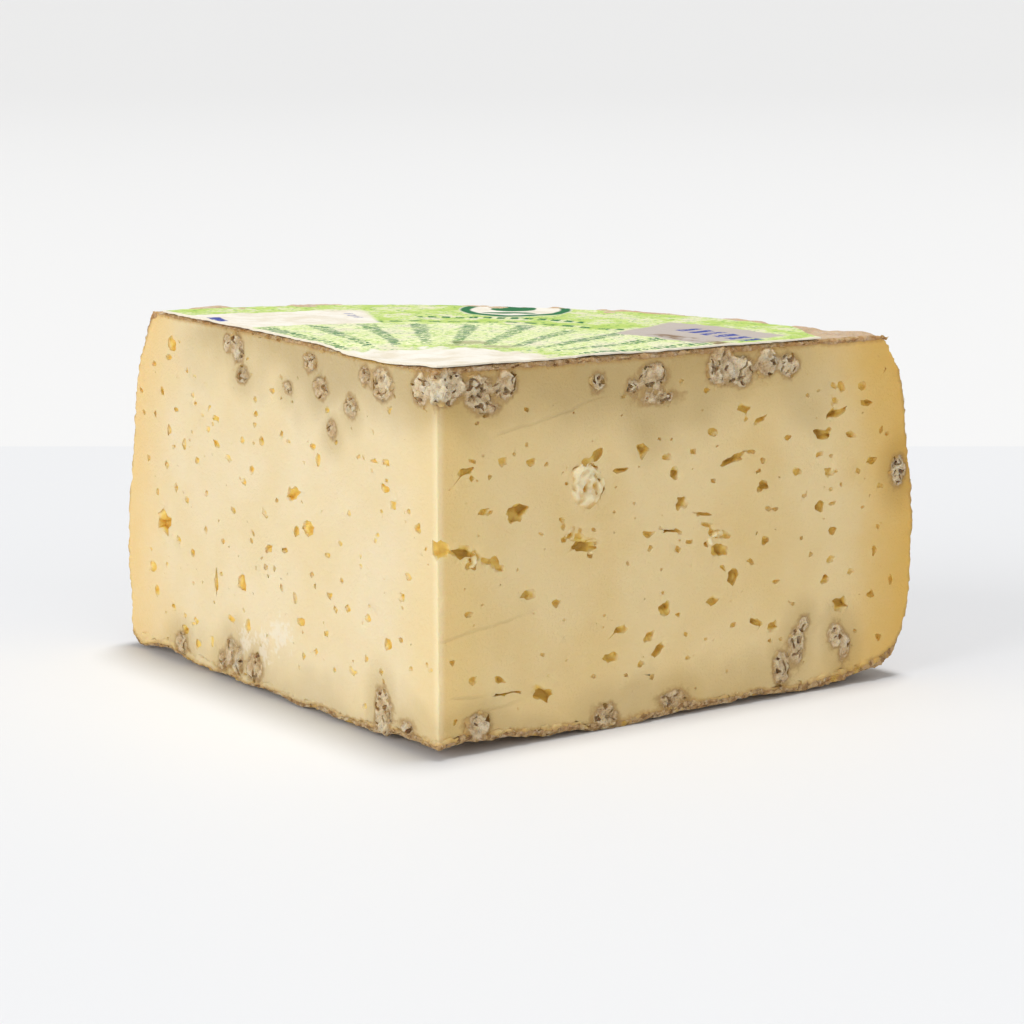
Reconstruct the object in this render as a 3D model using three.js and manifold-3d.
// A quarter of a pressed cheese wheel with a natural rind, and the paper label that lies on its top face.
// Units are millimetres and +Z is up. The wheel was cut through its axis twice, so the piece has two flat
// cut faces that meet at a right angle. The edge where they meet is the wheel's axis, here called the apex.
// The apex points to -Y, the rind to +Y, and the origin is under the middle of the piece, on the table.
import * as THREE from "three";
import { mergeVertices } from "three/addons/utils/BufferGeometryUtils.js";
import Module from "manifold-3d";

// The wheel
const wheelHeight = 110;
const bellyRadius = 184; // at the widest, half way up the side
const topInset = 18; // from the belly in to the flat of the top face, where the shoulder starts
const footInset = 12; // and to the flat of the face that it stands on, where the heel starts
const shoulderReach = 5; // how far the shoulder's rounding goes out, and heelReach the heel's
const shoulderDrop = 6;
const heelReach = 6;
const heelRise = 6;
const topLean = 1.8; // the top face is this much lower at its right corner and higher at its left one
const outOfRound = 0.8; // how far the rind wanders in and out
const rindWaves = 8; // times round the whole wheel

// The paper label
const labelMargin = 8; // the bare rind between the paper's edge and the shoulder
const labelThickness = 0.3;
const labelGap = 0.3; // the room that the rind's unevenness leaves under the paper

// The openings in the paste
const eyeDepthShare = 0.45; // an eye's depth, as a share of its mean width
const eyeSink = 0.25; // how far under the cut an eye's middle lies, as a share of its depth
const pocketDepth = 3.5;

// Sizes that follow from the ones above
const topRadius = bellyRadius - topInset;
const footRadius = bellyRadius - footInset;
const labelRadius = topRadius - labelMargin;

// How finely the round shapes are divided
const wheelSides = 144;
const curveSteps = 7;
const labelSteps = 48;

// The larger eyes of each cut face. They are strewn over the whole face, so an eye's place is a share of
// the way from the apex to the belly, and of the height. Its own sizes are in millimetres and degrees.
const rightEyes = [
  { along: 0.15, up: 0.6, width: 8, height: 5, tilt: -8 },
  { along: 0.06, up: 0.51, width: 9, height: 3.5, tilt: 6 },
  { along: 0.28, up: 0.49, width: 10, height: 3.5, tilt: -14 },
  { along: 0.17, up: 0.38, width: 5, height: 3, tilt: -20 },
  { along: 0.2, up: 0.1, width: 6, height: 3, tilt: -18 },
  { along: 0.36, up: 0.24, width: 5, height: 2.5, tilt: 0 },
  { along: 0.34, up: 0.165, width: 5, height: 3, tilt: 5 },
  { along: 0.44, up: 0.168, width: 5, height: 2.5, tilt: 10 },
  { along: 0.45, up: 0.28, width: 5, height: 5, tilt: -30 },
  { along: 0.565, up: 0.42, width: 8, height: 5, tilt: 0 },
  { along: 0.595, up: 0.34, width: 5, height: 5, tilt: 10 },
  { along: 0.555, up: 0.28, width: 5, height: 2.5, tilt: 5 },
  { along: 0.36, up: 0.68, width: 7, height: 2, tilt: 0 },
  { along: 0.485, up: 0.57, width: 5, height: 4, tilt: -30 },
  { along: 0.6, up: 0.685, width: 11, height: 2.5, tilt: 12 },
  { along: 0.66, up: 0.59, width: 6, height: 3.5, tilt: 0 },
  { along: 0.685, up: 0.18, width: 5, height: 3, tilt: 15 },
  { along: 0.785, up: 0.51, width: 4, height: 4, tilt: 0 },
  { along: 0.79, up: 0.72, width: 8, height: 3, tilt: -6 },
  { along: 0.82, up: 0.77, width: 9, height: 2.5, tilt: 4 },
  { along: 0.8, up: 0.295, width: 4, height: 3.5, tilt: 20 },
  { along: 0.835, up: 0.215, width: 6, height: 4, tilt: -25 },
];
const leftEyes = [
  { along: 0.055, up: 0.575, width: 4, height: 3, tilt: 0 },
  { along: 0.145, up: 0.655, width: 5, height: 3, tilt: 8 },
  { along: 0.35, up: 0.69, width: 3, height: 5, tilt: 10 },
  { along: 0.425, up: 0.58, width: 10, height: 4, tilt: 24 },
  { along: 0.385, up: 0.495, width: 7, height: 5, tilt: 0 },
  { along: 0.51, up: 0.4, width: 6, height: 2.5, tilt: 30 },
  { along: 0.56, up: 0.615, width: 4, height: 3, tilt: 0 },
  { along: 0.6, up: 0.28, width: 5, height: 6, tilt: 0 },
  { along: 0.41, up: 0.22, width: 5, height: 2.5, tilt: 12 },
  { along: 0.685, up: 0.665, width: 4, height: 2.5, tilt: -10 },
  { along: 0.69, up: 0.255, width: 2.5, height: 7, tilt: 6 },
  { along: 0.585, up: 0.155, width: 4, height: 4, tilt: -20 },
  { along: 0.85, up: 0.67, width: 4, height: 3, tilt: 10 },
  { along: 0.87, up: 0.385, width: 9, height: 8, tilt: 0 },
  { along: 0.835, up: 0.93, width: 6, height: 4, tilt: 8 },
];

// The pockets where mould has eaten in from the rind. They keep to it, so a pocket's inset is the distance
// of its middle from the top face, or from the foot.
const rightPockets = [
  { along: 0.08, from: "top", inset: 8, width: 11, height: 9 },
  { along: 0.42, from: "top", inset: 8, width: 9, height: 7 },
  { along: 0.59, from: "top", inset: 7, width: 16, height: 11 },
  { along: 0.72, from: "top", inset: 8, width: 8, height: 7 },
  { along: 0.725, from: "foot", inset: 11, width: 9, height: 13 },
  { along: 0.835, from: "foot", inset: 12, width: 8, height: 9 },
];
const leftPockets = [
  { along: 0.05, from: "top", inset: 5, width: 8, height: 8 },
  { along: 0.155, from: "top", inset: 6, width: 10, height: 9 },
  { along: 0.34, from: "top", inset: 11, width: 7, height: 7 },
  { along: 0.605, from: "top", inset: 5, width: 7, height: 8 },
  { along: 0.155, from: "foot", inset: 7, width: 10, height: 11 },
  { along: 0.63, from: "foot", inset: 7, width: 9, height: 7 },
];

const wasm = await Module();
wasm.setup();

// A closed three.js geometry as a solid that can be cut.
function solid(geometry) {
  const bare = geometry.clone();
  bare.deleteAttribute("normal");
  bare.deleteAttribute("uv");
  const merged = mergeVertices(bare, 1e-4);
  return new wasm.Manifold(
    new wasm.Mesh({
      numProp: 3,
      vertProperties: new Float32Array(merged.attributes.position.array),
      triVerts: new Uint32Array(merged.index.array),
    }),
  );
}

// A solid back as a geometry for a mesh.
function geometryOf(body) {
  const { numProp, vertProperties, triVerts } = body.getMesh();
  const shared = new THREE.BufferGeometry();
  shared.setAttribute(
    "position",
    new THREE.BufferAttribute(vertProperties, numProp),
  );
  shared.setIndex(new THREE.BufferAttribute(triVerts, 1));
  const flat = shared.toNonIndexed();
  flat.computeVertexNormals();
  return flat;
}

// Moves each vertex of a geometry by a rule that takes and changes a Vector3.
function moveEach(geometry, rule) {
  const places = geometry.attributes.position;
  const point = new THREE.Vector3();
  for (let i = 0; i < places.count; i++) {
    point.fromBufferAttribute(places, i);
    rule(point);
    places.setXYZ(i, point.x, point.y, point.z);
  }
  return geometry;
}

// Half of the wheel's section: from the middle of the foot, out round the belly, to the middle of the top.
function wheelProfile() {
  const heelRadius = footRadius + heelReach;
  const shoulderRadius = topRadius + shoulderReach;
  // A cubic curve passes three quarters of the way from its ends' mean to its two handles.
  const handle = (8 * bellyRadius - heelRadius - shoulderRadius) / 6;
  const third = (wheelHeight - heelRise - shoulderDrop) / 3;
  const profile = new THREE.Path();
  profile.moveTo(0, 0);
  profile.lineTo(footRadius, 0);
  profile.quadraticCurveTo(heelRadius, 0, heelRadius, heelRise);
  profile.bezierCurveTo(
    handle,
    heelRise + third,
    handle,
    wheelHeight - shoulderDrop - third,
    shoulderRadius,
    wheelHeight - shoulderDrop,
  );
  profile.quadraticCurveTo(
    shoulderRadius,
    wheelHeight,
    topRadius,
    wheelHeight,
  );
  profile.lineTo(0, wheelHeight);
  return profile.getPoints(curveSteps);
}

// The rind isn't quite round, and is the same on both sides of the piece's middle plane.
function wander(point) {
  const reach = Math.hypot(point.x, point.y);
  if (reach === 0) return;
  const angle = Math.atan2(point.x, point.y);
  const wave = outOfRound * Math.cos(rindWaves * angle) * (reach / bellyRadius);
  point.x += (wave * point.x) / reach;
  point.y += (wave * point.y) / reach;
}

// Everything above the foot leans with the top face, the more the higher it is.
function lean(point) {
  const share = point.x / (topRadius * Math.SQRT1_2);
  point.z -= (topLean * share * point.z) / wheelHeight;
}

// The directions of the two cuts, as angles from +X, and the side of each on which the cheese lies.
const rightCut = { angle: Math.PI / 4, inward: 1 };
const leftCut = { angle: (3 * Math.PI) / 4, inward: -1 };

// A ball stretched to an opening's size, turned by its tilt and set half into a cut face.
function opening(cut, { along, width, height, tilt = 0 }, middle, depth) {
  const ball = new THREE.IcosahedronGeometry(1, 1);
  ball.scale(width / 2, depth, height / 2);
  ball.rotateY(THREE.MathUtils.degToRad(tilt));
  ball.translate(along * bellyRadius, cut.inward * eyeSink * depth, middle);
  ball.rotateZ(cut.angle);
  return solid(ball);
}

function eye(cut, place) {
  const depth = eyeDepthShare * (place.width + place.height);
  return opening(cut, place, place.up * wheelHeight, depth);
}

function pocket(cut, place) {
  const middle =
    place.from === "top" ? wheelHeight - place.inset : place.inset;
  return opening(cut, place, middle, pocketDepth);
}

// The quarter: the whole wheel, cut twice through its axis, less its eyes and pockets.
function cheeseQuarter() {
  const wheel = new THREE.LatheGeometry(wheelProfile(), wheelSides);
  wheel.rotateX(Math.PI / 2);
  moveEach(wheel, wander);
  moveEach(wheel, lean);

  const reach = 2 * bellyRadius;
  const quadrant = new THREE.BoxGeometry(reach, reach, 4 * wheelHeight);
  quadrant.translate(reach / 2, reach / 2, 0);
  quadrant.rotateZ(rightCut.angle);

  let quarter = solid(wheel).intersect(solid(quadrant));
  const openings = [
    ...rightEyes.map((place) => eye(rightCut, place)),
    ...leftEyes.map((place) => eye(leftCut, place)),
    ...rightPockets.map((place) => pocket(rightCut, place)),
    ...leftPockets.map((place) => pocket(leftCut, place)),
  ];
  for (const hole of openings) quarter = quarter.subtract(hole);
  return geometryOf(quarter);
}

// The label was cut with the cheese, so it is a quarter of a disc, and it leans with the face under it.
function paperLabel() {
  const quarter = new THREE.Shape();
  quarter.moveTo(0, 0);
  quarter.absarc(0, 0, labelRadius, rightCut.angle, leftCut.angle, false);
  quarter.lineTo(0, 0);
  const paper = new THREE.ExtrudeGeometry(quarter, {
    depth: labelThickness,
    curveSegments: labelSteps,
    bevelEnabled: false,
  });
  paper.translate(0, 0, wheelHeight + labelGap);
  return moveEach(paper, lean);
}

const paste = new THREE.MeshStandardMaterial({
  color: 0xe6d3a0,
  roughness: 0.55,
  metalness: 0,
});
const paper = new THREE.MeshStandardMaterial({
  color: 0xa9cf6b,
  roughness: 0.8,
  metalness: 0,
});

const cheese = new THREE.Mesh(cheeseQuarter(), paste);
cheese.name = "cheese_quarter";
const label = new THREE.Mesh(paperLabel(), paper);
label.name = "paper_label";

const piece = new THREE.Group();
piece.add(cheese, label);

// The origin goes under the middle of the piece.
const box = new THREE.Box3().setFromObject(piece, true);
const middle = box.getCenter(new THREE.Vector3());
piece.position.set(-middle.x, -middle.y, -box.min.z);

export default piece;
